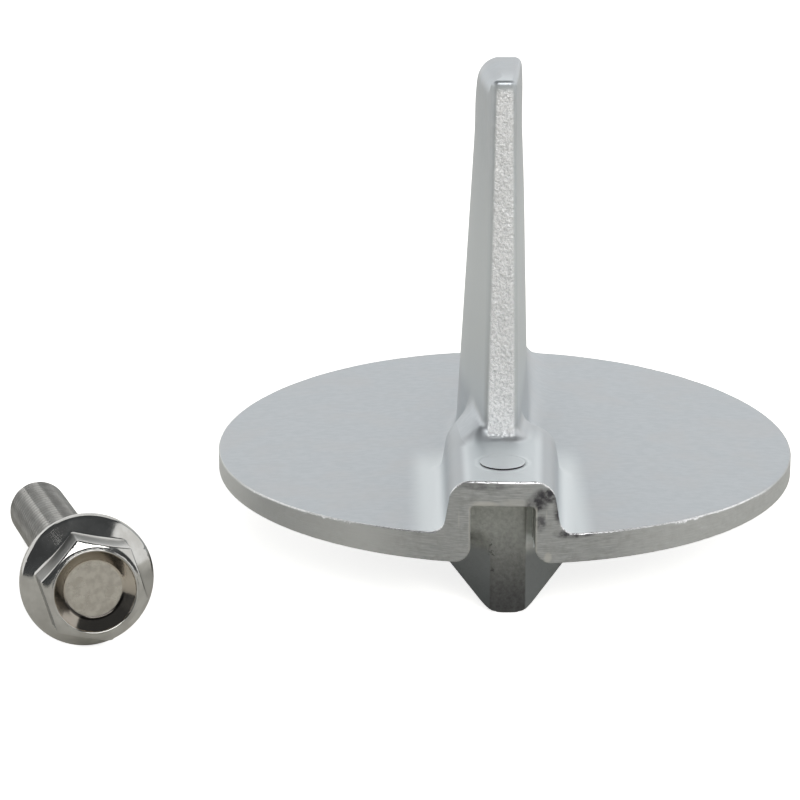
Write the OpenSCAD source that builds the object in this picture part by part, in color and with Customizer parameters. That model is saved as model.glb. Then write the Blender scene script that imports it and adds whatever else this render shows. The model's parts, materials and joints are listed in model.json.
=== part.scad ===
// Trim-tab anode for an outboard or sterndrive: a cast disc with a steering fin on its upper
// side, an arched channel at its front edge, and a keel and hub below that hold a cast-in
// steel insert, with the flange bolt that fastens it lying beside it on the same surface.
// Millimetres. +Z is up, -Y is the front. The origin is the mouth of the insert's thread,
// in the plane that the keel, the hub and the loose bolt all rest on.

/* [Disc] */
// Diameter of the disc
disc_d = 100; // [90:1:110]
// Thickness of the disc along its middle line
disc_t = 5; // [4:0.25:7]
// How much thinner the disc is at its left and right edges than along its middle
crown_drop = 1.4; // [0.6:0.1:2]

/* [Arch and channel] */
// Sideways place of the arch's middle, measured from the disc's centre
arch_x = -1.9; // [-3:0.1:3]
// Height of the arch's flat top above the disc's underside
arch_h = 14; // [12:0.5:18]
// Width of the arch across its top, before its corners are rounded
arch_top_w = 16.1; // [15:0.1:20]
// Lean of the arch's side walls from upright, in degrees
arch_draft = 9.5; // [4:0.5:12]
// Rounding of the arch's upper corners
arch_r = 3.3; // [1:0.1:4]
// How far back from the front edge the arch runs
arch_len = 32; // [26:1:36]
// Width of the channel under the arch
channel_w = 10.3; // [9:0.1:11.5]
// Height of the channel's roof above the disc's underside
channel_h = 9.75; // [8:0.25:10.5]
// Rounding of the channel's mouth at the disc's underside
channel_mouth_r = 2.8; // [1:0.1:3.5]
// Diameter of the round witness mark that the ejector pin leaves on the arch
witness_d = 7.3; // [5:0.1:8]

/* [Fin] */
// Height of the fin's tip above the disc's underside
fin_h = 74; // [60:0.5:85]
// How far the fin's upright nose stands back from the disc's front edge
fin_setback = 20.6; // [16:0.1:26]
// Length of the fin's top edge
fin_tip_len = 24; // [16:1:32]
// Greatest thickness of the fin at its root
fin_root_t = 13; // [10:0.1:14]
// Greatest thickness of the fin at its tip
fin_tip_t = 6.7; // [5:0.1:8]
// Width of the flat nose strip at its root
nose_root_w = 4.6; // [3:0.1:6]
// Width of the flat nose strip at its tip
nose_tip_w = 2.5; // [1.5:0.1:3]

/* [Keel and hub] */
// Depth of the keel and hub below the disc
keel_h = 11; // [9:0.5:14]
// Width of the upright stem at the keel's front
stem_w = 5.6; // [4:0.1:7]
// How far the stem stands back from the disc's front edge
stem_setback = 6.75; // [5:0.25:9]
// Angle between the stem's flat face and each side of the keel's bow, in degrees
bow_angle = 40; // [30:1:50]
// Sideways run of the keel's sloping side for each millimetre that it rises
keel_slope = 0.98; // [0.9:0.02:1.2]
// Diameter of the hub's lower face
hub_d = 22; // [21:0.5:26]

/* [Insert and bolt] */
// Outside diameter of the steel insert's body
insert_d = 15; // [14:0.5:16]
// Height of the insert
insert_h = 15; // [14:0.5:16]
// Nominal diameter of the bolt's thread
thread_d = 10; // [10:1:10]
// Pitch of the thread
thread_pitch = 1.5; // [1.25:0.25:1.5]
// Depth of the insert's threaded hole
thread_depth = 12.5; // [11:0.5:13]
// Length of the bolt under its flange
bolt_len = 50; // [35:5:60]
// Diameter of the bolt's flange
flange_d = 21.3; // [20:0.1:22]
// Width of the hexagon across its flats
hex_af = 15; // [13:0.1:16]
// Height of the bolt's head with its flange
head_h = 8.6; // [8:0.1:10]
// Where the flange's edge touches the surface, sideways from the disc's centre
bolt_x = -67.4; // [-90:0.1:-64]
// Where the flange's edge touches the surface, front to back
bolt_y = -55.9; // [-70:0.1:0]
// Turn of the loose bolt about the vertical, in degrees
bolt_turn = 16; // [-30:1:40]
// Turn of the hexagon about the bolt's own axis, in degrees
bolt_roll = 45.5; // [0:0.5:59]

/* [Hidden] */

anode_grey = [0.72, 0.74, 0.76];
steel_grey = [0.60, 0.60, 0.58];
inner_grey = [0.45, 0.45, 0.46];

disc_r = disc_d / 2;
crown_r = (disc_r * disc_r + crown_drop * crown_drop) / (2 * crown_drop);
past = 1;

// The keel sits nearly under the disc's middle, a little right of the arch.
keel_x = -0.8;
keel_edge_r = 1.2;
keel_floor_w = 4.8;
keel_low_w = 7.8;
stem_y = -disc_r + stem_setback;
keel_top_w = keel_low_w + 2 * keel_slope * (keel_h - keel_edge_r);
keel_back_y = 8;
hub_draft = 1.5;

// The fin's outline in plan is a nose strip, a thickest place and a tail, at root and tip.
nose_y = -disc_r + fin_setback;
fin_mid_y = -2;
fin_tail_y = 43;
nose_x = arch_x + 0.3;
fin_root_mid_x = arch_x - 0.5;
fin_tip_mid_x = arch_x + 0.4;
fin_tail_x = arch_x + 4.3;
fin_tail_t = 5;
fin_tip_tail_t = 3.2;
nose_r = 1.2;
tip_back_r = 5;
fin_foot_y = 46;
fin_foot_z = 12;
slab = 0.01;

witness_proud = 0.3;
arch_foot_w = arch_top_w + 2 * arch_h * tan(arch_draft);
channel_corner_r = 1.5;

insert_flange_d = 18;
insert_flange_t = 2;
insert_groove_d = 13.6;
insert_groove_t = 2;
insert_groove_z = 8;
thread_minor_d = thread_d - 1.0825 * thread_pitch;

// The bolt lies on its flange's edge and its tip, so its axis slopes down to the tip.
tip_chamfer = 1;
rim_t = 1.4;
flange_top_d = 17.6;
flange_slope_h = 1.1;
recess_d = 13.2;
recess_floor_d = 9;
recess_depth = 1.8;
hex_top_d = hex_af * 0.96;
hex_chamfer_h = 1.1;
fillet_under_head = 0.5;
bolt_tilt = atan((flange_d / 2 - thread_d / 2) / (bolt_len - tip_chamfer));

module crowned_disc() {
    intersection() {
        translate([0, 0, keel_h]) cylinder(h = 2 * disc_t, d = disc_d, $fn = 180);
        translate([0, 0, keel_h + disc_t - crown_r])
            rotate([90, 0, 0]) cylinder(h = 2 * disc_d, r = crown_r, center = true, $fn = 1440);
    }
}

// The arch's cross-section: upright walls that lean in, with round upper corners.
module arch_section() {
    top = arch_top_w / 2;
    foot = arch_foot_w / 2;
    offset(r = arch_r, $fn = 32) offset(delta = -arch_r)
        polygon([[-foot, 0], [foot, 0], [top, arch_h], [-top, arch_h]]);
    polygon([[-foot, 0], [foot, 0], [foot - arch_r * tan(arch_draft), arch_r],
             [arch_r * tan(arch_draft) - foot, arch_r]]);
}

module arch() {
    intersection() {
        translate([arch_x, 0, keel_h]) rotate([90, 0, 0])
            linear_extrude(height = disc_r + past) arch_section();
        cylinder(h = keel_h + arch_h + past, d = disc_d, $fn = 180);
        translate([arch_x, -disc_r - past, 0]) linear_extrude(height = keel_h + arch_h + past)
            offset(r = arch_r, $fn = 32) offset(delta = -arch_r)
                polygon([[-arch_top_w, -arch_len], [arch_top_w, -arch_len],
                         [arch_foot_w / 2, arch_len + past], [-arch_foot_w / 2, arch_len + past]]);
    }
}

module witness_mark() {
    translate([arch_x, stem_y + 2.4, keel_h + arch_h - past])
        cylinder(h = past + witness_proud, d = witness_d, $fn = 96);
}

// One level of the fin's plan outline.
module fin_section(nose_w, mid_t, mid_x, tail_t) {
    hull() {
        translate([nose_x - nose_w / 2, nose_y]) square([nose_w, 1]);
        translate([mid_x, fin_mid_y]) circle(d = mid_t, $fn = 48);
        translate([fin_tail_x, fin_tail_y]) circle(d = tail_t, $fn = 32);
    }
}

// The fin's outline from the side: upright nose, short top edge, trailing edge swept back.
module fin_profile() {
    top = keel_h + fin_h;
    tip_back = nose_y + fin_tip_len;
    hull() {
        translate([nose_y + nose_r, top - nose_r]) circle(r = nose_r, $fn = 32);
        translate([tip_back - tip_back_r, top - tip_back_r]) circle(r = tip_back_r, $fn = 48);
        translate([nose_y, keel_h]) square([fin_foot_y - nose_y, fin_foot_z]);
    }
}

module fin() {
    intersection() {
        hull() {
            translate([0, 0, keel_h])
                linear_extrude(height = slab)
                    fin_section(nose_root_w, fin_root_t, fin_root_mid_x, fin_tail_t);
            translate([0, 0, keel_h + fin_h])
                linear_extrude(height = slab)
                    fin_section(nose_tip_w, fin_tip_t, fin_tip_mid_x, fin_tip_tail_t);
        }
        rotate([90, 0, 90]) translate([0, 0, -disc_r])
            linear_extrude(height = disc_d) fin_profile();
        cylinder(h = keel_h + fin_h + past, d = disc_d, $fn = 180);
    }
}

// The keel's outline in plan: a flat stem, a bow that widens on both sides, and a square back.
module bow_plan() {
    half_stem = stem_w / 2;
    half_top = keel_top_w / 2;
    bow_run = (half_top - half_stem) * tan(bow_angle);
    polygon([[keel_x - half_stem, stem_y], [keel_x + half_stem, stem_y],
             [keel_x + half_top, stem_y + bow_run], [keel_x + half_top, keel_back_y],
             [keel_x - half_top, keel_back_y], [keel_x - half_top, stem_y + bow_run]]);
}

// The keel's cross-section: a narrow flat bottom and sides that slope out to the disc.
module keel_section() {
    floor = keel_floor_w / 2;
    low = keel_low_w / 2;
    top = keel_top_w / 2;
    polygon([[-floor, 0], [floor, 0], [low, keel_edge_r], [top, keel_h], [top, keel_h + past],
             [-top, keel_h + past], [-top, keel_h], [-low, keel_edge_r]]);
}

module keel() {
    intersection() {
        linear_extrude(height = keel_h + past) bow_plan();
        translate([keel_x, keel_back_y, 0]) rotate([90, 0, 0])
            linear_extrude(height = disc_r + keel_back_y) keel_section();
    }
}

module hub() {
    cylinder(h = keel_h + past, d1 = hub_d, d2 = hub_d + 2 * hub_draft, $fn = 96);
}

// The channel's cross-section, with round upper corners and a mouth that flares out below.
module channel_section() {
    half = channel_w / 2;
    r = channel_mouth_r;
    c = channel_corner_r;
    translate([-half, 0]) square([channel_w, channel_h - c]);
    translate([c - half, 0]) square([channel_w - 2 * c, channel_h]);
    for (side = [-1, 1]) {
        translate([side * (half - c), channel_h - c]) circle(r = c, $fn = 32);
        difference() {
            translate([side > 0 ? half - past : -half - r, -past]) square([r + past, r + past]);
            translate([side * (half + r), r]) circle(r = r, $fn = 48);
        }
    }
    translate([-half - r, -past]) square([channel_w + 2 * r, past]);
}

// The space of the channel, which ends at the keel's bow.
module channel() {
    difference() {
        translate([arch_x, stem_y + channel_w, keel_h]) rotate([90, 0, 0])
            linear_extrude(height = disc_r + stem_y + 2 * channel_w) channel_section();
        linear_extrude(height = keel_h + arch_h) bow_plan();
    }
}

module insert_space() {
    cylinder(h = insert_flange_t, d = insert_flange_d, $fn = 96);
    difference() {
        cylinder(h = insert_h, d = insert_d, $fn = 96);
        translate([0, 0, insert_groove_z]) difference() {
            cylinder(h = insert_groove_t, d = insert_d + past, $fn = 96);
            cylinder(h = insert_groove_t, d = insert_groove_d, $fn = 96);
        }
    }
}

module anode_casting() {
    color(anode_grey) difference() {
        union() {
            crowned_disc();
            arch();
            witness_mark();
            fin();
            keel();
            hub();
        }
        channel();
        insert_space();
    }
}

module threaded_insert() {
    color(inner_grey) difference() {
        insert_space();
        translate([0, 0, -past]) cylinder(h = thread_depth + past, d = thread_minor_d, $fn = 96);
    }
}

// The head and flange, from the bearing face at z = 0 upward.
module bolt_head() {
    cylinder(h = rim_t, d = flange_d, $fn = 96);
    translate([0, 0, rim_t])
        cylinder(h = flange_slope_h, d1 = flange_d - 0.6, d2 = flange_top_d, $fn = 96);
    difference() {
        intersection() {
            cylinder(h = head_h, d = hex_af / cos(30), $fn = 6);
            union() {
                cylinder(h = head_h - hex_chamfer_h, d = flange_d, $fn = 96);
                translate([0, 0, head_h - hex_chamfer_h])
                    cylinder(h = hex_chamfer_h, d1 = hex_af / cos(30) + slab, d2 = hex_top_d, $fn = 96);
            }
        }
        translate([0, 0, head_h - recess_depth])
            cylinder(h = recess_depth + slab, d1 = recess_floor_d, d2 = recess_d, $fn = 96);
    }
}

// The shank, from the bearing face down to the tip.
module bolt_shank() {
    translate([0, 0, tip_chamfer - bolt_len])
        cylinder(h = bolt_len - tip_chamfer + slab, d = thread_d, $fn = 96);
    translate([0, 0, -bolt_len])
        cylinder(h = tip_chamfer, d1 = thread_d - 2 * tip_chamfer, d2 = thread_d, $fn = 96);
    translate([0, 0, -fillet_under_head])
        cylinder(h = fillet_under_head, d1 = thread_d, d2 = thread_d + 2 * fillet_under_head, $fn = 96);
}

module flange_bolt() {
    lean = flange_d / 2 * sin(bolt_tilt);
    color(steel_grey)
        translate([bolt_x - lean * sin(bolt_turn), bolt_y + lean * cos(bolt_turn),
                   flange_d / 2 * cos(bolt_tilt)])
            rotate([90 - bolt_tilt, 0, bolt_turn]) rotate([0, 0, bolt_roll]) {
                bolt_head();
                bolt_shank();
            }
}

anode_casting();
threaded_insert();
flange_bolt();
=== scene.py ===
"""The looks of a trim-tab anode and its loose flange bolt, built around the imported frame."""

import json
from math import asin, atan, atan2, cos, pi, radians, sin, tan

import bpy
import numpy as np
import openvdb
from mathutils import Matrix, Vector


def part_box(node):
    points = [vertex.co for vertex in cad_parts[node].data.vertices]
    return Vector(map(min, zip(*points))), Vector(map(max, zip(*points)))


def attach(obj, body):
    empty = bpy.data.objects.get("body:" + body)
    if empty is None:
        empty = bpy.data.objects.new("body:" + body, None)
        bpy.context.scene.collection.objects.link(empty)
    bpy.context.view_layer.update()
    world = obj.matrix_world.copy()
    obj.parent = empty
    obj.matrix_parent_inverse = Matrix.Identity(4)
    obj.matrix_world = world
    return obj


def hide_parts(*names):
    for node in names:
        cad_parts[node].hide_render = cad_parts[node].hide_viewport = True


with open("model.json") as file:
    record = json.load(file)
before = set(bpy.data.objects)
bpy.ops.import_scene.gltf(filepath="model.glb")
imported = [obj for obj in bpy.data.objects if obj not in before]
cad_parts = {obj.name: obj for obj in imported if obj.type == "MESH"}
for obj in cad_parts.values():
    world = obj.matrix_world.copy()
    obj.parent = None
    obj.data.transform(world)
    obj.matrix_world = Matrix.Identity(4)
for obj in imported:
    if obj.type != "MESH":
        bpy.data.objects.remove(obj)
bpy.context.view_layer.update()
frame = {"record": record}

MM = 0.001
SEED = 7

# ---------------------------------------------------------------- sizes, in millimetres

casting_low, casting_high = (np.array(corner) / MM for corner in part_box("anode_casting"))

# The disc, which is thinner at its left and right
DISC_R = (casting_high[0] - casting_low[0]) / 2
UNDERSIDE_Z = 11.0
DISC_T = 5.0
CROWN_DROP = 1.4

# The arch at the disc's front edge, and the channel under it
ARCH_X = -1.9
ARCH_TOP_Z = UNDERSIDE_Z + 14.0
ARCH_HALF_TOP = 8.05
ARCH_DRAFT = tan(radians(9.5))
ARCH_SPREAD = 0.05
ARCH_SPREAD_Y = -46
ARCH_BACK_Y = -17.5
ARCH_TOP_ROUND = 3.1
ARCH_LEFT_ROUND = 3.6
ARCH_RIGHT_ROUND = 6.5
ARCH_FILLET = 2.2
CHANNEL_HALF = 5.15
CHANNEL_ROOF_Z = UNDERSIDE_Z + 9.75
CHANNEL_ROUND = 0.9
CHANNEL_FLARE = 2.8

# The fin. Each half is half its thickness at the root, and each taper is what that loses at the tip
FIN_TOP_Z = casting_high[2]
NOSE_X = ARCH_X + 0.3
NOSE_Y = -29.4
NOSE_HALF = 3.0
NOSE_TAPER = 0.95
FIN_MID_X = ARCH_X - 0.5
FIN_MID_Y = -2.0
FIN_MID_HALF = 6.5
FIN_MID_TAPER = 3.15
FIN_MID_SHIFT = 0.9
FIN_TAIL_X = ARCH_X + 4.3
FIN_TAIL_Y = 43.0
FIN_TAIL_HALF = 2.5
FIN_TAIL_TAPER = 0.9
FIN_TIP_SWELL = 0.45
FIN_SIDE_COS = 0.985
FIN_FOOT_Y = 46.0
FIN_FOOT_Z = 23.0
FIN_SWEEP = radians(41.1)
FIN_CURVE = 5.0
FIN_EDGE = 1.15
FIN_SHOULDER = 2.3

# The rough strip down the fin's nose
GRIT_HALF = 2.30
GRIT_DEPTH = 0.10
GRIT_LEVEL = 0.45

# The keel and the hub below the disc
KEEL_X = -0.8
STEM_HALF = 2.8
STEM_Y = -43.25
KEEL_LOW_HALF = 3.9
KEEL_LOW_Z = 1.2
KEEL_SLOPE = 0.98
KEEL_BACK_Y = 8.0
BOW_ANGLE = radians(40)
BOW_BLUNT = 0.85
HUB_R = 11.0
HUB_DRAFT = 1.5

# The ejector pin's mark on the arch
WITNESS_R = 3.65
WITNESS_X = ARCH_X + 0.15
WITNESS_Y = STEM_Y + 2.4
WITNESS_RISE = 0.19
WITNESS_TILT = radians(-1.7)
SWELL_HEIGHT = 0.10

# The insert
INSERT_TOP_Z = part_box("threaded_insert")[1][2] / MM
INSERT_FLANGE_R = 9.0
INSERT_FLANGE_H = 2.0
INSERT_R = 7.5
GROOVE_R = 6.8
GROOVE_LOW_Z = 8.0
GROOVE_HIGH_Z = 10.0
BORE_DEPTH = 12.5

# The thread in the insert and on the bolt
THREAD_R = 5.0
PITCH = 1.5
THREAD_DEPTH = 0.92
CREST_SHARE = 0.125
FLANK_SHARE = 0.72
RINGS_PER_PITCH = 12

# The bolt
FLANGE_R = 10.65
FLANGE_EDGE_H = 1.35
FLANGE_SLOPE = radians(33)
HEX_HALF = 7.5
HEX_CHAMFER_R = 7.0
HEX_CHAMFER = radians(26)
HEAD_H = 8.6
RECESS_R = 6.5
RECESS_FLOOR_R = 4.6
RECESS_DEPTH = 1.8
BOLT_LEN = 50.0
THREADED_LEN = 34.0
RUN_OUT = 2.5
TIP_CHAMFER = 1.0
BOLT_ROLL = radians(45.5)
# From the head's bearing face to the middle of the shank mount
SHANK_MOUNT_REACH = 25.0

# The camera, above and in front of the disc, and how far it looks down in degrees
CAMERA_SPOT = (-18.24, -472.3, UNDERSIDE_Z + 164.5)
CAMERA_DOWN = 17.96
CAMERA_LENS = 127.85

# How the meshes are made: fields are sampled in slabs, and slopes are taken over two nudges
SLAB_ROWS = 40
NUDGE = 0.03
CASTING_MARGIN = 1.5
HEAD_MARGIN = 0.8


# ---------------------------------------------------------------- distance fields

def round_union(a, b, r):
    """The union of two solids, with a fillet of radius r between them."""
    corner = np.hypot(np.maximum(r - a, 0), np.maximum(r - b, 0))
    return np.maximum(r, np.minimum(a, b)) - corner


def round_cut(a, b, r):
    """What two solids share, with a rounded edge of radius r where their faces meet."""
    corner = np.hypot(np.maximum(r + a, 0), np.maximum(r + b, 0))
    return np.minimum(-r, np.maximum(a, b)) + corner


def smooth_max(a, b, reach):
    """The larger of two values, eased over reach where they are close together."""
    share = np.maximum(reach - np.abs(a - b), 0) / reach
    return np.maximum(a, b) + share * share * reach / 4


def between(value, low, high):
    """0 up to low, 1 from high on, and a smooth step between them."""
    t = np.clip((value - low) / (high - low), 0, 1)
    return t * t * (3 - 2 * t)


def lattice_noise(x, y, z, scale, seed):
    """Smooth noise from -1 to 1 with bumps about scale millimetres wide."""
    rng = np.random.default_rng(seed)
    size = 32
    table = rng.uniform(-1, 1, (size, size, size)).astype(np.float32)
    total = 0
    cells, shares = [], []
    for axis in np.broadcast_arrays(x / scale, y / scale, z / scale):
        floor = np.floor(axis)
        t = axis - floor
        cells.append(floor.astype(int))
        shares.append(t * t * (3 - 2 * t))
    for corner in np.ndindex(2, 2, 2):
        weight = 1
        for share, side in zip(shares, corner):
            weight = weight * (share if side else 1 - share)
        index = tuple((cell + side) % size for cell, side in zip(cells, corner))
        total = total + weight * table[index]
    return total


def disc_field(x, y, z):
    """The disc's slab, with a top that falls towards its left and right. The rim is cut later."""
    top = z - (UNDERSIDE_Z + DISC_T - CROWN_DROP * (x / DISC_R) ** 2)
    return np.maximum(top, UNDERSIDE_Z - z)


def arch_field(x, y, z):
    """The arch: leaning walls that round over into a flat top, and a rounded rear. Its right
    wall spreads a little towards the rear."""
    lean = atan(ARCH_DRAFT)
    fall = (ARCH_TOP_Z - z) * ARCH_DRAFT
    left = (ARCH_X - x - ARCH_HALF_TOP - fall) * cos(lean)
    spread = ARCH_SPREAD * (y - ARCH_SPREAD_Y)
    right = (x - ARCH_X - ARCH_HALF_TOP - fall - spread) * cos(lean)
    back = (y - ARCH_BACK_Y - fall) * cos(lean)
    walls = np.maximum(round_cut(left, back, ARCH_LEFT_ROUND), round_cut(right, back, ARCH_RIGHT_ROUND))
    return round_cut(walls, z - ARCH_TOP_Z, ARCH_TOP_ROUND)


def fin_rise(z):
    """0 at the fin's root and 1 at its tip."""
    return (z - UNDERSIDE_Z) / (FIN_TOP_Z - UNDERSIDE_Z)


def fin_field(x, y, z):
    """The fin: drafted sides that swell from a flat nose to a thickest place and close to a tail.
    Its edge is rounder at the left of its tip, behind the nose."""
    t = fin_rise(z)
    nose_half = NOSE_HALF - NOSE_TAPER * t
    mid_half = FIN_MID_HALF - FIN_MID_TAPER * t + FIN_CURVE / 4
    tail_half = FIN_TAIL_HALF - FIN_TAIL_TAPER * t
    mid_x = FIN_MID_X + FIN_MID_SHIFT * t
    tip_swell = FIN_TIP_SWELL * between(z, FIN_TOP_Z - 16.0, FIN_TOP_Z - 2.0)
    sides = []
    for way in (-1, 1):
        nose = way * NOSE_X + nose_half
        mid = way * mid_x + mid_half + tip_swell
        tail = way * FIN_TAIL_X + tail_half
        front = way * x - nose - (mid - nose) * (y - NOSE_Y) / (FIN_MID_Y - NOSE_Y)
        back = way * x - mid - (tail - mid) * (y - FIN_MID_Y) / (FIN_TAIL_Y - FIN_MID_Y)
        sides.append(smooth_max(front, back, FIN_CURVE) * FIN_SIDE_COS)
    body = np.maximum(sides[0], sides[1])
    trailing = (y - FIN_FOOT_Y) * cos(FIN_SWEEP) + (z - FIN_FOOT_Z) * sin(FIN_SWEEP)
    tail_end = smooth_max(trailing, y - FIN_FOOT_Y, 3.0)
    profile = smooth_max(tail_end, z - FIN_TOP_Z, 1.8)
    profile = round_cut(profile, NOSE_Y - y, 0.8)
    shoulder = between(z, FIN_TOP_Z - 14.0, FIN_TOP_Z - 4.0) * between(NOSE_X - x, -1.5, 1.5)
    behind_nose = between(y, NOSE_Y + 0.5, NOSE_Y + 4.5)
    return round_cut(body, profile, FIN_EDGE + FIN_SHOULDER * shoulder * behind_nose)


def bow_field(x, y, z):
    """The keel's plan: a flat stem and a bow that widens behind it on both sides.
    Up inside the channel, the left side of the bow is nearly flush with the stem."""
    out = np.abs(x - KEEL_X) - STEM_HALF
    blunt = between(z, UNDERSIDE_Z + 0.5, UNDERSIDE_Z + 3.5) * between(KEEL_X - x, 0.0, 0.5)
    angle = BOW_ANGLE * (1 - BOW_BLUNT * blunt)
    sides = out * np.sin(angle) - (y - STEM_Y) * np.cos(angle)
    return round_cut(sides, STEM_Y - y, 0.25)


def keel_field(x, y, z):
    """The keel below the disc: sides that slope out as they rise, and a flat bottom."""
    lean = atan(KEEL_SLOPE)
    side = (np.abs(x - KEEL_X) - KEEL_LOW_HALF - (z - KEEL_LOW_Z) * KEEL_SLOPE) * cos(lean)
    hull = smooth_max(side, -z, 1.6)
    hull = round_cut(hull, bow_field(x, y, z), 0.2)
    return round_cut(hull, y - KEEL_BACK_Y, 1.5)


def hub_field(x, y, z):
    """The round hub under the disc, a little wider at its top."""
    return round_cut(np.hypot(x, y) - (HUB_R + HUB_DRAFT * z / UNDERSIDE_Z), -z, 0.6)


def channel_field(x, y, z):
    """The empty space under the arch, with a mouth that flares into the underside."""
    box = round_cut(np.abs(x - ARCH_X) - CHANNEL_HALF, z - CHANNEL_ROOF_Z, CHANNEL_ROUND)
    box = round_union(box, z - UNDERSIDE_Z, CHANNEL_FLARE)
    return round_cut(box, -bow_field(x, y, z), 0.3)


def pocket_field(x, y, z):
    """The space that the insert fills."""
    radial = np.hypot(x, y)
    wide = np.maximum(radial - INSERT_FLANGE_R, z - INSERT_FLANGE_H)
    return np.minimum(wide, np.maximum(radial - INSERT_R, z - INSERT_TOP_Z))


def grit(x, y, z):
    """How far the rough as-cast strip down the fin's nose lies below the nose's plane. It is less
    than 0 at the highest grains, which stand a little proud of that plane."""
    inside = GRIT_HALF - NOSE_TAPER * fin_rise(z) - np.abs(x - NOSE_X)
    strip = between(inside, -0.3, 0.3) * between(-y, 27.5, 28.5) * between(z, 25.0, 26.5)
    strip = strip * between(FIN_TOP_Z - z, 1.5, 3.5)
    bumps = lattice_noise(x, y, z, 0.5, SEED) + 0.8 * lattice_noise(x, y, z, 1.1, SEED + 1)
    return GRIT_DEPTH * strip * (GRIT_LEVEL - bumps)


def swell(x, y, z):
    """The low ring that the ejector pin pushes up round its mark."""
    out = np.hypot(x - WITNESS_X, y - WITNESS_Y) - WITNESS_R
    ring = np.exp(-((out - 0.35) / 0.4) ** 2)
    return SWELL_HEIGHT * ring * between(z, ARCH_TOP_Z - 1.0, ARCH_TOP_Z - 0.5)


def casting_field(x, y, z):
    """The whole casting. Fillets change size along the fin's foot and where the keel meets the
    disc, and are tiny where two faces lie in one plane."""
    upper = round_union(disc_field(x, y, z), arch_field(x, y, z), ARCH_FILLET)
    flare = 2.4 + 3.5 * between(y, -5.0, 38.0) * between(x, ARCH_X, ARCH_X + 3)
    flare = flare + 3.0 * between(NOSE_X - x, 1.5, 5.0) * between(-y, 5.0, 18.0)
    upper = round_union(upper, fin_field(x, y, z), flare)
    upper = np.maximum(upper, UNDERSIDE_Z - z)
    upper = round_cut(upper, -channel_field(x, y, z), 0.2)
    lower = np.minimum(keel_field(x, y, z), hub_field(x, y, z))
    lower = np.maximum(lower, z - UNDERSIDE_Z - 1.0)
    whole = round_union(upper, lower, 0.02 + 0.58 * between(y, -38.0, -30.0))
    ragged = 0.08 * lattice_noise(x, y, z, 0.9, SEED + 3) * between(-y, 20, 35)
    whole = round_cut(whole, np.hypot(x, y) - DISC_R + 0.01 - np.minimum(ragged, 0), 0.25)
    whole = round_cut(whole, -pocket_field(x, y, z), 0.15)
    return whole + grit(x, y, z) - swell(x, y, z)


def hex_field(x, y):
    """The bolt's hexagon, seen along its axis."""
    turns = [pi / 6 + k * pi / 3 for k in range(6)]
    planes = [x * cos(turn) + y * sin(turn) - HEX_HALF for turn in turns]
    field = planes[0]
    for plane in planes[1:]:
        field = round_cut(field, plane, 0.25)
    return field


def head_field(x, y, z):
    """The bolt's head: washer flange, hexagon with a chamfered top, and a recess with a flat floor."""
    radial = np.hypot(x, y)
    cone = (radial - FLANGE_R) * sin(FLANGE_SLOPE) + (z - FLANGE_EDGE_H) * cos(FLANGE_SLOPE)
    flange = round_cut(round_cut(radial - FLANGE_R, cone, 0.4), -z, 0.3)
    hexagon = np.maximum(hex_field(x, y), 0.5 - z)
    chamfer = (radial - HEX_CHAMFER_R) * sin(HEX_CHAMFER) + (z - HEAD_H) * cos(HEX_CHAMFER)
    hexagon = round_cut(hexagon, smooth_max(z - HEAD_H, chamfer, 0.25), 0.24)
    head = round_union(flange, hexagon, 0.35)
    lean = atan((RECESS_R - RECESS_FLOOR_R) / RECESS_DEPTH)
    wall = (radial - RECESS_R) * cos(lean) - (z - HEAD_H) * sin(lean)
    dish = smooth_max(wall, HEAD_H - RECESS_DEPTH - z, 0.2)
    lip = np.hypot(radial - RECESS_R - 0.12, z - HEAD_H + 0.1) - 0.22
    return np.minimum(round_cut(head, -dish, 0.12), lip)


# ---------------------------------------------------------------- meshes from fields

def mesh_from_field(name, field, low, high, step, merge):
    """A closed mesh on the field's zero surface. Where that surface is flat, faces are merged
    as far as merge allows. Points and normals are then taken from the field itself."""
    low, high = np.array(low, float), np.array(high, float)
    counts = np.ceil((high - low) / step).astype(int) + 1
    axes = [(low[i] + step * np.arange(counts[i])).astype(np.float32) for i in range(3)]
    reach = 3 * step
    values = np.empty(counts, np.float32)
    for start in range(0, counts[0], SLAB_ROWS):
        slab = slice(start, start + SLAB_ROWS)
        part = field(axes[0][slab, None, None], axes[1][None, :, None], axes[2][None, None, :])
        values[slab] = np.clip(part, -reach, reach)
    grid = openvdb.FloatGrid(reach)
    grid.copyFromArray(values)
    points, triangles, quads = grid.convertToPolygons(isovalue=0.0, adaptivity=merge)
    points = low + points.astype(float) * step
    for _ in range(3):
        here, slope = height_and_slope(points, field)
        steep = np.maximum((slope**2).sum(axis=1), 0.25)
        moved = points - np.clip((here / steep)[:, None] * slope, -0.4 * step, 0.4 * step)
        nearer = np.abs(field(*moved.T)) < np.abs(here)
        points = np.where(nearer[:, None], moved, points)
    _, slope = height_and_slope(points, field)
    normals = slope / np.maximum(np.linalg.norm(slope, axis=1), 1e-6)[:, None]
    mesh = bpy.data.meshes.new(name)
    mesh.from_pydata((points * MM).tolist(), [], quads.tolist() + triangles.tolist())
    mesh.update()
    mesh.shade_smooth()
    mesh.normals_split_custom_set_from_vertices(normals.tolist())
    return add_object(name, mesh)


def height_and_slope(points, field):
    """The field's value and its gradient at each point."""
    x, y, z = points.T
    slope = [
        field(x + NUDGE, y, z) - field(x - NUDGE, y, z),
        field(x, y + NUDGE, z) - field(x, y - NUDGE, z),
        field(x, y, z + NUDGE) - field(x, y, z - NUDGE),
    ]
    return field(x, y, z), np.stack(slope, axis=1) / (2 * NUDGE)


def add_object(name, mesh):
    obj = bpy.data.objects.new(name, mesh)
    bpy.context.scene.collection.objects.link(obj)
    return obj


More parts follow.
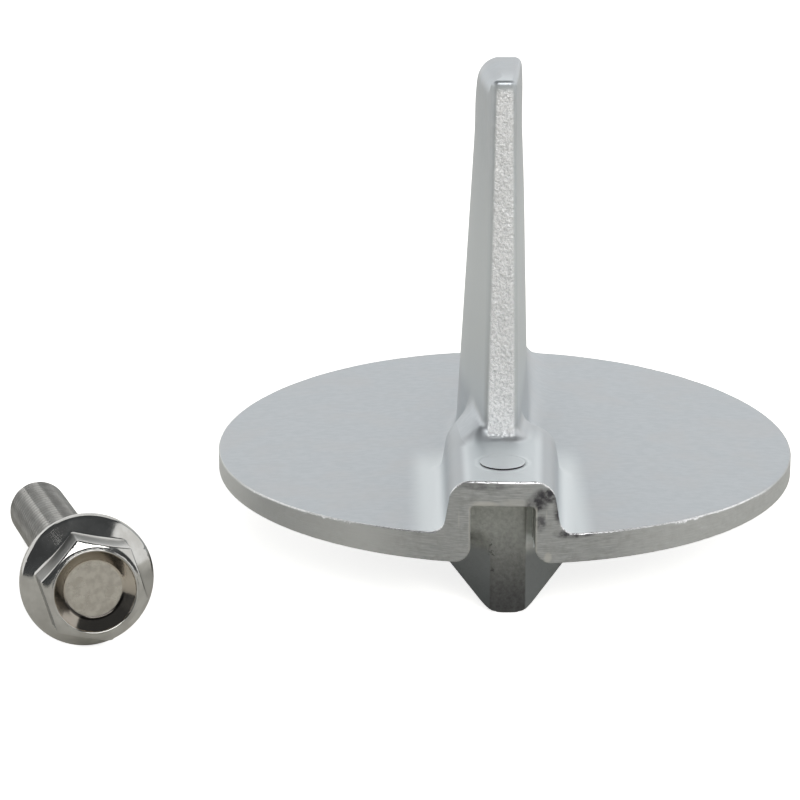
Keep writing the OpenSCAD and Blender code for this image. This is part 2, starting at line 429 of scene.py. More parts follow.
def shade_smooth(obj, sharp_angle):
    """Smooth shading, with an edge kept sharp where its faces turn by more than sharp_angle degrees."""
    obj.data.shade_smooth()
    obj.data.set_sharp_from_angle(angle=radians(sharp_angle))


# ---------------------------------------------------------------- camera

def make_camera():
    camera = bpy.data.objects.new("camera", bpy.data.cameras.new("camera"))
    bpy.context.scene.collection.objects.link(camera)
    camera.data.sensor_width = 36
    camera.data.lens = CAMERA_LENS
    camera.data.clip_start = 0.01
    camera.data.clip_end = 20
    camera.location = [part * MM for part in CAMERA_SPOT]
    camera.rotation_euler = (radians(90 - CAMERA_DOWN), 0, 0)
    bpy.context.scene.camera = camera


# ---------------------------------------------------------------- the anode

def make_casting():
    step, merge = ((0.28, 0.004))
    low, high = casting_low - CASTING_MARGIN, casting_high + CASTING_MARGIN
    return mesh_from_field("anode_casting_body", casting_field, low, high, step, merge)


def make_witness_mark():
    """The ejector pin's round mark on the arch: a low disc, proud at its front edge."""
    profile = [(WITNESS_R, -0.6), (WITNESS_R, -0.08)]
    profile += [(WITNESS_R - 0.03, -0.02), (WITNESS_R - 0.1, 0.0)]
    profile += [(WITNESS_R * share, 0.0) for share in (0.9, 0.75, 0.5, 0.25)]
    mark = add_object("witness_mark", lathe("witness_mark", profile, 96))
    tilt = Matrix.Rotation(WITNESS_TILT, 4, "X")
    place = Matrix.Translation(Vector((WITNESS_X, WITNESS_Y, ARCH_TOP_Z + WITNESS_RISE)) * MM)
    mark.data.transform(place @ tilt)
    shade_smooth(mark, 40)
    return mark


def lathe(name, profile, turns, radius_at=None):
    """A closed solid of revolution about Z from (radius, height) points, in millimetres.
    radius_at(radius, angle, height) may change a point's radius, as a thread does."""
    points, faces = [], []
    angles = [2 * pi * k / turns for k in range(turns)]
    for radius, height in profile:
        for angle in angles:
            r = radius_at(radius, angle, height) if radius_at else radius
            points.append((r * cos(angle) * MM, r * sin(angle) * MM, height * MM))
    for ring in range(len(profile) - 1):
        for k in range(turns):
            a, b = ring * turns + k, ring * turns + (k + 1) % turns
            faces.append((a, b, b + turns, a + turns))
    first = tuple(range(turns))[::-1]
    last = tuple(range((len(profile) - 1) * turns, len(profile) * turns))
    faces += [first, last]
    mesh = bpy.data.meshes.new(name)
    mesh.from_pydata(points, [], faces)
    mesh.update()
    return mesh


def thread_dip(angle, height):
    """How far below its crest a right-hand thread lies at this place, from 0 to 1."""
    phase = (height / PITCH - angle / (2 * pi)) % 1.0
    ramp = abs(phase - 0.5) * 2
    return min(max((ramp - CREST_SHARE) / FLANK_SHARE, 0.0), 1.0)


def make_insert():
    """The steel insert: a flanged plug with a threaded blind hole and a drill point."""
    outer = [(INSERT_FLANGE_R, 0.0), (INSERT_FLANGE_R, INSERT_FLANGE_H), (INSERT_R, INSERT_FLANGE_H)]
    outer += [(INSERT_R, GROOVE_LOW_Z), (GROOVE_R, GROOVE_LOW_Z)]
    outer += [(GROOVE_R, GROOVE_HIGH_Z), (INSERT_R, GROOVE_HIGH_Z), (INSERT_R, INSERT_TOP_Z)]
    steps = int(BORE_DEPTH / PITCH * RINGS_PER_PITCH)
    bore = [(THREAD_R, BORE_DEPTH * k / steps) for k in range(steps, -1, -1)]
    drill_point = [(0.4, BORE_DEPTH + 0.2), (THREAD_R - THREAD_DEPTH, BORE_DEPTH)]
    profile = drill_point + bore + [(THREAD_R + 0.45, 0.0)] + outer

    def radius_at(radius, angle, height):
        """The thread's own rings are those at its full radius. The mouth is countersunk."""
        if radius != THREAD_R:
            return radius
        mouth = max(0.0, 1 - height / 0.9)
        crest = THREAD_R - THREAD_DEPTH + THREAD_DEPTH * thread_dip(angle, height)
        return max(crest, THREAD_R - THREAD_DEPTH + (THREAD_DEPTH + 0.3) * mouth)

    mesh = lathe("threaded_insert_body", profile, 72, radius_at)
    insert = add_object("threaded_insert_body", mesh)
    shade_smooth(insert, 35)
    return insert


# ---------------------------------------------------------------- the bolt

def bolt_place():
    """Where the bolt's own frame, with its axis up through the head, lies in the model.
    The record's shank mount points from the head's bearing face to the tip."""
    mount = next(m for m in frame["record"]["mounts"] if m["name"] == "bolt_shank")
    to_tip = Vector(mount["axis"]).normalized()
    spot = Vector(mount["pos_m"]) - to_tip * SHANK_MOUNT_REACH * MM
    tilt = asin(-to_tip.z)
    heading = atan2(-to_tip.x, to_tip.y)
    turn = Matrix.Rotation(heading, 4, "Z") @ Matrix.Rotation(pi / 2 - tilt, 4, "X")
    return Matrix.Translation(spot) @ turn @ Matrix.Rotation(BOLT_ROLL, 4, "Z")


def make_head():
    step, merge = ((0.12, 0.01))
    side = FLANGE_R + HEAD_MARGIN
    low = (-side, -side, -HEAD_MARGIN)
    high = (side, side, HEAD_H + HEAD_MARGIN)
    return mesh_from_field("bolt_head", head_field, low, high, step, merge)


def make_shank():
    """The shank: a rolled thread from the tip up, then plain steel up to the head."""
    rings = int(THREADED_LEN / PITCH * RINGS_PER_PITCH)
    tip = -BOLT_LEN
    plain_r = THREAD_R - 0.02
    fillet_r = THREAD_R + 0.35
    profile = [(0.5, tip), (THREAD_R - TIP_CHAMFER - 0.1, tip), (THREAD_R - TIP_CHAMFER, tip + 0.03)]
    profile += [(THREAD_R, tip + 0.05 + THREADED_LEN * k / rings) for k in range(rings + 1)]
    profile += [(plain_r, tip + THREADED_LEN + 1.0), (plain_r, -0.7), (fillet_r, 0.05)]
    profile += [(fillet_r, 0.8)]

    def radius_at(radius, angle, height):
        """The thread's own rings are those at its full radius. The thread fades out at its top."""
        if radius != THREAD_R:
            return radius
        above_tip = height - tip
        full = THREAD_R - THREAD_DEPTH * thread_dip(angle, height)
        run_out = min(max((above_tip - THREADED_LEN + RUN_OUT) / RUN_OUT, 0.0), 1.0)
        full = full + (THREAD_R - full) * run_out
        return min(full, THREAD_R - TIP_CHAMFER + above_tip)

    shank = add_object("bolt_shank", lathe("bolt_shank", profile, 96, radius_at))
    shade_smooth(shank, 35)
    return shank


def join(first, second):
    """Both objects as one, under the first one's name."""
    with bpy.context.temp_override(
        active_object=first, object=first, selected_editable_objects=[first, second]
    ):
        bpy.ops.object.join()
    return first


# ---------------------------------------------------------------- colours

# Several of these are painted light and shade: lighter or darker than the metal itself, used by place
# or by the way a face points, so that the faces have the right tones under this light from the front.

# The linished top, its faces painted lighter or darker by place as painted light and shade, and the
# painted shade round the ejector pin's mark
TOP_DARK = (0.546, 0.580, 0.601, 1)
TOP_PALE = (0.600, 0.630, 0.652, 1)
TOP_CLOUD = (0.60, 0.60, 0.60, 1)
# Painted light and shade on the top: lighter beside the arch, on the boss's top and on the fin's sides,
# darker on the boss's shoulder
BY_ARCH_PAINTED_LIGHT = (0.80, 0.84, 0.85, 1)
BOSS_TOP_PAINTED_LIGHT = (0.81, 0.85, 0.865, 1)
BOSS_SHOULDER_PAINTED_SHADE = (0.48, 0.505, 0.52, 1)
FIN_SIDE_PAINTED_LIGHT = (0.69, 0.725, 0.735, 1)
MARK_EDGE_SHADE = (0.04, 0.035, 0.04, 1)

# The sanded rim
RIM_DARK = (0.37, 0.38, 0.38, 1)
RIM_PALE = (0.54, 0.55, 0.545, 1)
RIM_BLOTCH = (0.29, 0.29, 0.28, 1)
RIM_FAR = (0.68, 0.69, 0.68, 1)
RIM_STAIN = (0.085, 0.082, 0.090, 1)
RIM_SMEAR = (0.66, 0.65, 0.61, 1)
# Nicks on the rim's top edge, painted near white as a highlight
RIM_BURR_HIGHLIGHT = (0.97, 0.97, 0.97, 1)

# The raw casting below the disc and in the channel
CAST_LOW_DARK = (0.100, 0.100, 0.100, 1)
CAST_LOW_PALE = (0.150, 0.152, 0.153, 1)
CAST_HIGH_DARK = (0.37, 0.38, 0.36, 1)
CAST_HIGH_PALE = (0.49, 0.50, 0.47, 1)
# Painted light on the bow's facets: lighter than the stem, more so on the right facet
BOW_FACET_LIGHT_LOW = (0.165, 0.178, 0.183, 1)
BOW_FACET_LIGHT_HIGH = (0.27, 0.285, 0.29, 1)
BOW_RIGHT_FACET_LIGHT = (0.29, 0.305, 0.31, 1)
# Painted light: the right bow facet up in the channel, near white
BOW_WITHIN_PAINTED_LIGHT = (0.92, 0.93, 0.91, 1)
CAST_PIT = (0.05, 0.05, 0.05, 1)

# The grains on the fin's nose, painted near white with pale specks as painted sparkle
GRAIN_SPARKLE_DIM = (0.82, 0.83, 0.83, 1)
GRAIN_SPARKLE_GLINT = (1.0, 1.0, 1.0, 1)

# The bolt and the insert
STEEL_DARK = (0.51, 0.50, 0.475)
STEEL_PALE = (0.61, 0.605, 0.58)
RECESS_FLOOR_DARK = (0.50, 0.47, 0.42, 1)
RECESS_FLOOR_PALE = (0.62, 0.59, 0.53, 1)
# Painted light and shade on the recess wall: paler where it faces down, darker where it faces up
RECESS_WALL_FACING_DOWN_LIT = (0.56, 0.51, 0.44, 1)
RECESS_WALL_FACING_UP_SHADED = (0.34, 0.31, 0.27, 1)
# Painted shade in the corner round the recess floor
RECESS_CORNER_SHADE = (0.05, 0.045, 0.04, 1)
# Painted shade and light on the hexagon's sides: darker faces to the left, paler to the right
HEX_LEFT_SHADED = (0.29, 0.29, 0.28, 1)
HEX_RIGHT_LIT = (0.78, 0.78, 0.76, 1)
# Painted shade in the thread's roots
THREAD_ROOT_SHADE = (0.06, 0.06, 0.055, 1)
INSERT_DARK = (0.26, 0.26, 0.255, 1)
INSERT_PALE = (0.40, 0.40, 0.39, 1)

# The floor and the light from all round
FLOOR_COLOUR = (0.80, 0.785, 0.735, 1)
FLOOR_GLOW_COLOUR = (1.0, 1.0, 1.0, 1)
FLOOR_GLOW = 0.80
SKY_COLOUR = (0.90, 0.95, 1.0, 1)
SKY_STRENGTH = 0.08

# Stains and pale smears on the rim's front, as (x, height above the underside), size, strength
STAINS = [
    ((5.6, 11.6), (3.6, 1.7), 1.0),
    ((3.4, 10.2), (2.2, 1.7), 1.0),
    ((7.2, 9.4), (1.4, 3.4), 1.0),
    ((9.8, 5.0), (4.4, 1.0), 1.0),
    ((4.1, 7.0), (1.1, 1.8), 0.8),
    ((-5.0, 13.2), (5.5, 0.9), 0.45),
]
SMEARS = [
    ((-4.7, 10.1), (2.9, 0.75), 1.0),
    ((-0.2, 10.4), (2.8, 0.9), 0.55),
    ((5.3, 1.1), (0.8, 1.1), 1.0),
    ((-8.9, 7.3), (0.14, 2.0), 0.5),
    ((5.0, 8.4), (0.14, 1.1), 0.45),
]


# ---------------------------------------------------------------- materials

class Nodes:
    """A short way to build a node material. Lengths in it are in millimetres."""

    def __init__(self, name, roughness, metallic=1.0):
        self.material = bpy.data.materials.new(name)
        self.material.use_nodes = True
        self.tree = self.material.node_tree
        self.shader = self.tree.nodes["Principled BSDF"]
        self.shader.inputs["Metallic"].default_value = metallic
        self.shader.inputs["Roughness"].default_value = roughness
        self.coords = self.add("ShaderNodeTexCoord")
        scaled = self.add("ShaderNodeVectorMath", {0: self.coords.outputs["Object"]}, operation="SCALE")
        scaled.inputs["Scale"].default_value = 1 / MM
        self.spot = scaled.outputs["Vector"]

    def add(self, kind, inputs=None, **settings):
        node = self.tree.nodes.new(kind)
        for key, value in settings.items():
            setattr(node, key, value)
        for key, value in (inputs or {}).items():
            self.plug(value, node.inputs[key])
        return node

    def plug(self, value, socket):
        if isinstance(value, bpy.types.NodeSocket):
            self.tree.links.new(value, socket)
        else:
            socket.default_value = value

    def math(self, operation, a, b=0.0):
        return self.add("ShaderNodeMath", {0: a, 1: b}, operation=operation).outputs[0]

    def vector(self, operation, *values):
        return self.add("ShaderNodeVectorMath", dict(enumerate(values)), operation=operation).outputs

    def times(self, first, *others):
        for other in others:
            first = self.math("MULTIPLY", first, other)
        return first

    def most(self, first, *others):
        for other in others:
            first = self.math("MAXIMUM", first, other)
        return first

    def plus(self, first, *others):
        for other in others:
            first = self.math("ADD", first, other)
        return first

    def away(self, value, middle):
        """How far a value is from middle, either way."""
        return self.math("ABSOLUTE", self.math("SUBTRACT", value, middle))

    def length(self, a, b):
        return self.math("SQRT", self.math("ADD", self.times(a, a), self.times(b, b)))

    def invert(self, value):
        return self.math("SUBTRACT", 1.0, value)

    def step(self, value, low, high):
        """0 at low and 1 at high, which may be the lower of the two."""
        inputs = {"Value": value, "From Min": low, "From Max": high}
        return self.add("ShaderNodeMapRange", inputs, interpolation_type="SMOOTHSTEP").outputs["Result"]

    def apart(self, vector):
        return self.add("ShaderNodeSeparateXYZ", {"Vector": vector}).outputs

    def noise(self, size, stretch=(1, 1, 1), detail=3.0, rough=0.55):
        """Noise whose bumps are about size millimetres wide, times stretch along each axis."""
        scale = tuple(1 / (size * s) for s in stretch)
        place = self.add("ShaderNodeMapping", {"Vector": self.spot, "Scale": scale}).outputs["Vector"]
        inputs = {"Vector": place, "Scale": 1.0, "Detail": detail, "Roughness": rough}
        return self.add("ShaderNodeTexNoise", inputs).outputs["Fac"]

    def mix(self, share, a, b):
        node = self.add("ShaderNodeMix", data_type="RGBA")
        self.plug(share, node.inputs["Factor"])
        self.plug(a, node.inputs["A"])
        self.plug(b, node.inputs["B"])
        return node.outputs["Result"]

    def patch(self, x, z, middle, size):
        """A soft-edged ellipse, seen from the front: 1 at its middle and 0 past its edge."""
        across = self.math("DIVIDE", self.math("SUBTRACT", x, middle[0]), size[0])
        up = self.math("DIVIDE", self.math("SUBTRACT", z, middle[1]), size[1])
        out = self.plus(self.times(across, across), self.times(up, up))
        return self.step(out, 1.0, 0.1)

    def bump(self, height, depth, normal=None):
        """A bump whose full height is depth millimetres."""
        inputs = {"Height": height, "Distance": depth * MM, "Strength": 1.0}
        if normal is not None:
            inputs["Normal"] = normal
        return self.add("ShaderNodeBump", inputs).outputs["Normal"]

    def finish(self, colour=None, roughness=None, normal=None):
        for name, value in (("Base Color", colour), ("Roughness", roughness), ("Normal", normal)):
            if value is not None:
                self.plug(value, self.shader.inputs[name])
        return self.material


class AnodeNodes(Nodes):
    """The anode's nodes, with the noises and the regions that its finishes share."""

    def __init__(self):
        super().__init__("anode_alloy", 0.45)
        self.x, self.y, self.z = self.apart(self.spot)
        self.nx, _, self.nz = self.apart(self.coords.outputs["Normal"])
        self.from_arch = self.away(self.x, ARCH_X)
        self.front = self.step(self.y, -30.0, -34.0)
        self.grain = self.noise(0.48, detail=3, rough=0.7)
        self.streak = self.noise(1.0, (1.8, 0.9, 1.8), 4, 0.6)
        self.lines = self.noise(0.35, (7.0, 7.0, 0.45), 3, 0.6)
        self.blotch = self.noise(1.4, (1.3, 1.3, 1.0), 5, 0.65)
        self.soot = self.noise(0.5, detail=5, rough=0.75)
        self.rough_cast = self.noise(0.8, detail=5, rough=0.65)
        self.from_axis = self.length(self.x, self.y)
        self.rim = self.step(self.from_axis, DISC_R - 0.3, DISC_R - 0.12)
        self.raw = self.raw_region()
        self.nose = self.nose_region()
        self.burr_highlight = self.burr_highlight_region()

    def raw_region(self):
        """The casting's own skin: below the disc's underside and inside the channel."""
        inside = self.times(
            self.step(self.from_arch, CHANNEL_HALF + 0.2, CHANNEL_HALF),
            self.step(self.z, CHANNEL_ROOF_Z + 0.3, CHANNEL_ROOF_Z + 0.05),
            self.step(self.y, -30.0, -31.0),
        )
        below = self.step(self.z, UNDERSIDE_Z + 0.2, UNDERSIDE_Z - 0.2)
        return self.times(self.most(inside, below), self.invert(self.rim))

    def nose_region(self):
        """The rough strip down the fin's nose, with ragged sides that close in towards the tip."""
        ragged = self.math("SUBTRACT", 2.90, self.times(self.grain, 0.5))
        half = self.math("SUBTRACT", ragged, self.times(self.z, 0.0163))
        out = self.math("SUBTRACT", self.away(self.x, NOSE_X), half)
        return self.times(
            self.step(out, 0.25, -0.25),
            self.step(self.y, NOSE_Y + 0.9, NOSE_Y + 0.5),
            self.step(self.y, NOSE_Y - 2.4, NOSE_Y - 1.2),
            self.step(self.z, ARCH_TOP_Z + 0.2, ARCH_TOP_Z + 2.0),
            self.step(self.z, FIN_TOP_Z - 0.9, FIN_TOP_Z - 2.2),
        )

    def burr_highlight_region(self):
        """Nicks along the top edge of the rim's front, painted near white as a highlight on the rounded
        edge.
        """
        return self.times(
            self.step(self.from_axis, DISC_R - 0.45, DISC_R - 0.2),
            self.step(self.nz, 0.2, 0.45),
            self.step(self.nz, 0.995, 0.93),
            self.step(self.y, -20.0, -34.0),
            self.step(self.soot, 0.36, 0.5),
        )

    def patches(self, places):
        """The strongest of several soft-edged ellipses, with heights above the disc's underside."""
        found = []
        for (across, up), size, strength in places:
            patch = self.patch(self.x, self.z, (across, UNDERSIDE_Z + up), size)
            found.append(self.times(patch, strength))
        return self.most(*found)


def top_colour(n):
    """Linished top: pale blue-grey with short faint streaks, with painted light and shade by place and
    by the way a face points, and painted shade round the ejector pin's mark.
    """
    colour = n.mix(n.step(n.streak, 0.3, 0.7), TOP_DARK, TOP_PALE)
    cloud = n.noise(9.0, detail=2)
    colour = n.mix(n.times(n.step(cloud, 0.4, 0.7), 0.35), colour, TOP_CLOUD)
    # Painted light: the top beside the arch is painted lighter
    by_arch_painted_light = n.times(
        n.step(n.from_arch, 15.5, 12.0),
        n.step(n.y, -4.0, -18.0),
        n.step(n.z, 21.0, 17.5),
    )
    colour = n.mix(n.times(by_arch_painted_light, 0.85), colour, BY_ARCH_PAINTED_LIGHT)
    # Painted light: the boss's flat top is painted lighter
    boss_top_painted_light = n.times(
        n.step(n.z, ARCH_TOP_Z - 1.2, ARCH_TOP_Z - 0.2),
        n.step(n.y, -20.0, -32.0),
        n.step(n.nz, 0.85, 0.998),
    )
    colour = n.mix(n.times(boss_top_painted_light, 0.9), colour, BOSS_TOP_PAINTED_LIGHT)
    # Painted light: the fin's sideways faces, most below its middle, are painted lighter
    fin_side_painted_light = n.times(
        n.step(n.z, ARCH_TOP_Z + 58.0, ARCH_TOP_Z + 25.0),
        n.step(n.nz, 0.5, 0.3),
        n.step(n.z, ARCH_TOP_Z + 2.0, ARCH_TOP_Z + 7.0),
    )
    colour = n.mix(n.times(fin_side_painted_light, 0.9), colour, FIN_SIDE_PAINTED_LIGHT)
    # Painted shade: the sloping shoulder round the boss's top is painted darker
    shoulder = n.times(
        n.step(n.z, ARCH_TOP_Z - 3.6, ARCH_TOP_Z - 2.6),
        n.step(n.z, ARCH_TOP_Z + 0.1, ARCH_TOP_Z),
        n.step(n.nz, 0.3, 0.6),
        n.step(n.nz, 0.998, 0.85),
        n.step(n.y, -15.0, -30.0),
    )
    colour = n.mix(n.times(shoulder, 0.6), colour, BOSS_SHOULDER_PAINTED_SHADE)
    # Painted shade round the ejector pin's mark
    return n.mix(mark_edge_shade(n), colour, MARK_EDGE_SHADE)


def mark_edge_shade(n):
    """Painted shade: a dark line on the upright faces at the edge of the ejector pin's mark."""
    across = n.math("SUBTRACT", n.x, WITNESS_X)
    back = n.math("SUBTRACT", n.y, WITNESS_Y)
    from_mark = n.length(across, back)
    return n.times(
        n.step(n.nz, 0.75, 0.35),
        n.step(from_mark, WITNESS_R - 0.25, WITNESS_R - 0.12),
        n.step(from_mark, WITNESS_R + 0.25, WITNESS_R + 0.12),
        n.step(n.z, ARCH_TOP_Z - 0.4, ARCH_TOP_Z - 0.1),
    )


def rim_colour(n):
    """Sawn and sanded rim: fine lines along it, brown-grey blotches, dark stains, pale smears."""
    colour = n.mix(n.step(n.lines, 0.3, 0.7), RIM_DARK, RIM_PALE)
    colour = n.mix(n.times(n.step(n.blotch, 0.45, 0.7), 0.5), colour, RIM_BLOTCH)
    far = n.times(n.step(n.math("ABSOLUTE", n.x), 11.0, 26.0), 0.55)
    far_left = n.times(n.step(n.x, -14.0, -26.0), 0.35)
    colour = n.mix(n.plus(0.12, far, far_left), colour, RIM_FAR)
    smudge = n.plus(n.times(n.step(n.noise(1.3, detail=5), 0.36, 0.58), 0.62), 0.38)
    stained = n.times(n.patches(STAINS), smudge, n.step(n.soot, 0.15, 0.4), n.front)
    colour = n.mix(stained, colour, RIM_STAIN)
    lip = n.times(
        n.step(n.from_arch, CHANNEL_HALF + 0.42, CHANNEL_HALF + 0.12),
        n.step(n.z, CHANNEL_ROOF_Z + 0.3, CHANNEL_ROOF_Z - 0.6),
        n.step(n.soot, 0.3, 0.5),
    )
    smeared = n.times(n.most(n.patches(SMEARS), lip), n.front, 0.8)
    return n.mix(smeared, colour, RIM_SMEAR)


def cast_colour(n):
    """Raw casting below and inside the channel: darker towards the bottom, pitted by the stem. The
    bow's facets get painted light, more on the right, and near white up in the channel.
    """
    rough = n.step(n.rough_cast, 0.3, 0.7)
    low = n.mix(rough, CAST_LOW_DARK, CAST_LOW_PALE)
    high = n.mix(rough, CAST_HIGH_DARK, CAST_HIGH_PALE)
    colour = n.mix(n.step(n.z, 1.0, CHANNEL_ROOF_Z - 1.0), low, high)
    # Painted light: the bow's facets are lighter than the stem by the way they point, more so on the
    # right
    facet = n.times(n.step(n.math("ABSOLUTE", n.nx), 0.3, 0.55), n.step(n.nz, -0.5, -0.3), n.front)
    bow = n.mix(n.step(n.z, 1.0, UNDERSIDE_Z), BOW_FACET_LIGHT_LOW, BOW_FACET_LIGHT_HIGH)
    bow = n.mix(n.step(n.nx, 0.2, 0.5), bow, BOW_RIGHT_FACET_LIGHT)
    below = n.step(n.z, UNDERSIDE_Z + 0.5, UNDERSIDE_Z - 1.0)
    colour = n.mix(n.times(facet, below, 0.9), colour, bow)
    # Painted light: the right bow facet up in the channel is painted near white
    within = n.step(n.z, UNDERSIDE_Z - 1.5, UNDERSIDE_Z + 2.5)
    colour = n.mix(n.times(facet, n.step(n.nx, 0.3, 0.5), within), colour, BOW_WITHIN_PAINTED_LIGHT)
    stem_edge = n.patch(n.x, n.z, (KEEL_X - STEM_HALF + 0.2, UNDERSIDE_Z - 1.5), (0.7, 5.0))
    pits = n.times(stem_edge, n.step(n.rough_cast, 0.5, 0.62))
    return n.mix(n.times(pits, 0.75), colour, CAST_PIT)


def anode_material():
    """Cast anode alloy: linished pale top, sawn and sanded rim, dark raw casting below, and a strip of
    grains down the fin's nose painted near white as painted sparkle. Several faces carry painted light
    and shade."""
    n = AnodeNodes()
    colour = n.mix(n.rim, top_colour(n), rim_colour(n))
    colour = n.mix(n.raw, colour, cast_colour(n))
    # Painted sparkle: the nose's grains in near white and pale specks
    grains = n.mix(n.step(n.grain, 0.42, 0.56), GRAIN_SPARKLE_DIM, GRAIN_SPARKLE_GLINT)
    colour = n.mix(n.nose, colour, grains)
    # Painted highlight: nicks on the rim's top edge in near white
    colour = n.mix(n.burr_highlight, colour, RIM_BURR_HIGHLIGHT)

    roughness = n.plus(n.times(n.streak, 0.12), 0.40)
    roughness = n.math("SUBTRACT", roughness, n.times(n.burr_highlight, 0.16))
    roughness = n.math("SUBTRACT", roughness, n.times(n.nose, 0.14))
    n.plug(n.invert(n.times(n.nose, 0.4)), n.shader.inputs["Metallic"])

    fine = n.bump(n.times(n.streak, n.invert(n.most(n.rim, n.raw))), 0.010)
    sawn = n.bump(n.times(n.plus(n.lines, n.blotch), n.rim), 0.045, fine)
    coarse = n.bump(n.times(n.rough_cast, n.raw), 0.10, sawn)
    grain_height = n.math("SUBTRACT", n.grain, 0.5)
    return n.finish(colour, roughness, n.bump(n.times(grain_height, n.nose), 0.42, coarse))


def about_bolt(n):
    """Height along the bolt's axis above the head's bearing face, distance from that axis, and
    how nearly the surface faces along it."""
    place = bolt_place()
    axis = tuple(place.to_3x3() @ Vector((0, 0, 1)))
    reach = n.vector("SUBTRACT", n.spot, tuple(place.translation / MM))["Vector"]
    along = n.vector("DOT_PRODUCT", reach, axis)["Value"]
    aside = n.vector("CROSS_PRODUCT", reach, axis)["Vector"]
    radial = n.vector("LENGTH", aside)["Value"]
    facing = n.vector("DOT_PRODUCT", n.coords.outputs["Normal"], axis)["Value"]
    return along, radial, facing


def bolt_material(name, roughness, tone):
    """Stainless steel with faint smears: satin hexagon sides with painted shade on the left faces and
    painted light on the right, a warm recess with painted light and shade on its wall and painted shade
    in its floor's corner, and painted shade in the thread roots. tone scales the steel's own colours.
    """
    n = Nodes(name, roughness)
    nx, _, nz = n.apart(n.coords.outputs["Normal"])
    along, radial, facing = about_bolt(n)
    smear = n.noise(3.0, detail=4)
    dark = [tone * share for share in STEEL_DARK] + [1]
    pale = [tone * share for share in STEEL_PALE] + [1]
    colour = n.mix(n.step(smear, 0.35, 0.7), dark, pale)

    recess = n.times(
        n.step(along, HEAD_H - 2.4, HEAD_H - 2.2),
        n.step(radial, RECESS_R + 0.02, RECESS_R - 0.1),
    )
    # Painted light and shade on the recess wall, by which way it faces
    wall = n.mix(n.step(nz, -0.1, 0.35), RECESS_WALL_FACING_DOWN_LIT, RECESS_WALL_FACING_UP_SHADED)
    colour = n.mix(recess, colour, wall)
    floor = n.mix(n.step(n.noise(1.2, detail=5), 0.35, 0.65), RECESS_FLOOR_DARK, RECESS_FLOOR_PALE)
    colour = n.mix(n.times(recess, n.step(facing, 0.93, 0.985)), colour, floor)
    # Painted shade in the corner where the recess floor meets its wall
    recess_corner_low = HEAD_H - RECESS_DEPTH + 0.05
    recess_corner_shade = n.times(
        n.step(along, recess_corner_low + 0.35, recess_corner_low + 0.15),
        n.step(facing, 0.985, 0.95),
        n.step(nz, 0.1, 0.35),
        recess,
    )
    colour = n.mix(recess_corner_shade, colour, RECESS_CORNER_SHADE)

    side = n.times(
        n.step(n.math("ABSOLUTE", facing), 0.3, 0.15),
        n.step(along, 2.4, 3.0),
        n.step(radial, 7.3, 7.42),
    )
    # Painted light and shade on the hexagon's sides, by which way each face points
    colour = n.mix(side, colour, n.mix(n.step(nx, -0.6, 0.0), HEX_LEFT_SHADED, HEX_RIGHT_LIT))
    # Painted shade in the roots of the thread
    root = n.times(n.step(radial, THREAD_R - 0.1, THREAD_R - 0.55), n.step(along, -0.5, -1.5))
    colour = n.mix(root, colour, THREAD_ROOT_SHADE)

    dulled = n.plus(n.times(smear, 0.10), roughness - 0.05, n.times(side, 0.27))
    dulled = n.plus(dulled, n.times(recess, n.step(facing, 0.9, 0.99), 0.16))
    return n.finish(colour, dulled, n.bump(n.noise(0.4), 0.004))


def insert_material():
    """Turned steel, a little dulled."""
    n = Nodes("insert_steel", 0.35)
    wear = n.noise(2.0, detail=4)
    colour = n.mix(n.step(wear, 0.3, 0.7), INSERT_DARK, INSERT_PALE)
    return n.finish(colour, n.plus(n.times(wear, 0.2), 0.25), n.bump(n.noise(0.5), 0.008))


# ---------------------------------------------------------------- floor and light

def make_floor():
    """A white floor. Only the camera sees it glow, so that it doesn't wash out what it mirrors."""
    side = 4.0
    drop = -0.02 * MM
    corners = [(-side, -side, drop), (side, -side, drop), (side, side, drop), (-side, side, drop)]
    mesh = bpy.data.meshes.new("floor")
    mesh.from_pydata(corners, [], [(0, 1, 2, 3)])
    floor = add_object("floor", mesh)
    n = Nodes("floor", 0.9, metallic=0.0)
    n.shader.inputs["Base Color"].default_value = FLOOR_COLOUR
    n.shader.inputs["Emission Color"].default_value = FLOOR_GLOW_COLOUR
    seen = n.add("ShaderNodeLightPath").outputs["Is Camera Ray"]
    n.plug(n.times(seen, FLOOR_GLOW), n.shader.inputs["Emission Strength"])
    floor.data.materials.append(n.material)


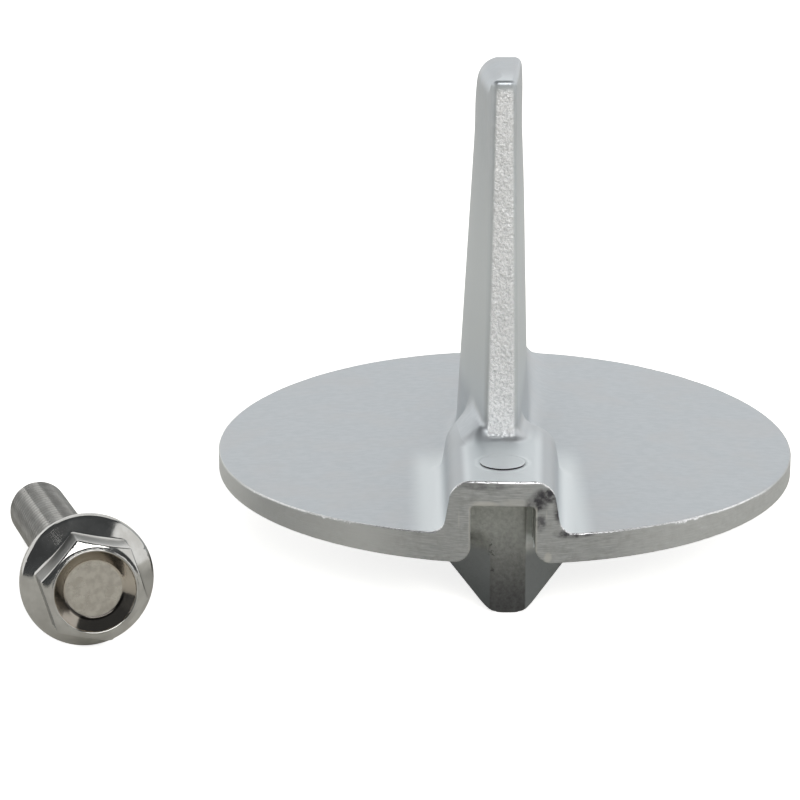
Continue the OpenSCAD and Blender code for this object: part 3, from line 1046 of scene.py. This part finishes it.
def make_light():
    world = bpy.data.worlds.new("studio")
    bpy.context.scene.world = world
    world.use_nodes = True
    back = world.node_tree.nodes["Background"]
    back.inputs["Color"].default_value = SKY_COLOUR
    back.inputs["Strength"].default_value = SKY_STRENGTH
    soft_box("back_wall", 180, 14, 1.6, (3.2, 1.3), 0.92)
    soft_box("right_wall", 96, 20, 1.5, (2.2, 1.4), 1.0)
    soft_box("left_wall", -98, 14, 1.5, (2.2, 1.1), 1.05)
    soft_box("front_light", 10, 36, 1.3, (1.05, 0.45), 5.5)
    soft_box("top_light", 180, 56, 1.5, (1.8, 0.8), 1.0)


def soft_box(name, azimuth, elevation, distance, size, radiance):
    """An area lamp aimed at the object. Azimuth 0 is in front, 90 to the right."""
    lamp = bpy.data.lights.new(name, "AREA")
    lamp.shape = "RECTANGLE"
    lamp.size, lamp.size_y = size
    lamp.energy = radiance * pi * size[0] * size[1]
    obj = bpy.data.objects.new(name, lamp)
    bpy.context.scene.collection.objects.link(obj)
    flat = cos(radians(elevation)) * distance
    turn = radians(azimuth)
    obj.location = (flat * sin(turn), -flat * cos(turn), distance * sin(radians(elevation)))
    obj.rotation_euler = obj.location.to_track_quat("Z", "Y").to_euler()


# ---------------------------------------------------------------- build

make_camera()
make_floor()
make_light()
bpy.context.scene.view_settings.view_transform = "Standard"

anode_alloy = anode_material()
bolt_steel = bolt_material("bolt_steel", 0.12, 1.0)
# The thread is the bolt's steel made rougher, with its colours darkened by tone as painted shade
thread_steel_shaded = bolt_material("bolt_thread_steel_shaded", 0.46, 0.78)
insert_steel = insert_material()

casting = make_casting()
casting.data.materials.append(anode_alloy)
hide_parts("anode_casting")
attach(casting, "anode")

witness = make_witness_mark()
witness.data.materials.append(anode_alloy)
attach(witness, "anode")

insert = make_insert()
insert.data.materials.append(insert_steel)
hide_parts("threaded_insert")
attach(insert, "anode")

head, shank = make_head(), make_shank()
head.data.materials.append(bolt_steel)
shank.data.materials.append(thread_steel_shaded)
bolt = join(head, shank)
bolt.data.transform(bolt_place())
bolt.name = "flange_bolt_body"
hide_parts("flange_bolt")
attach(bolt, "bolt")
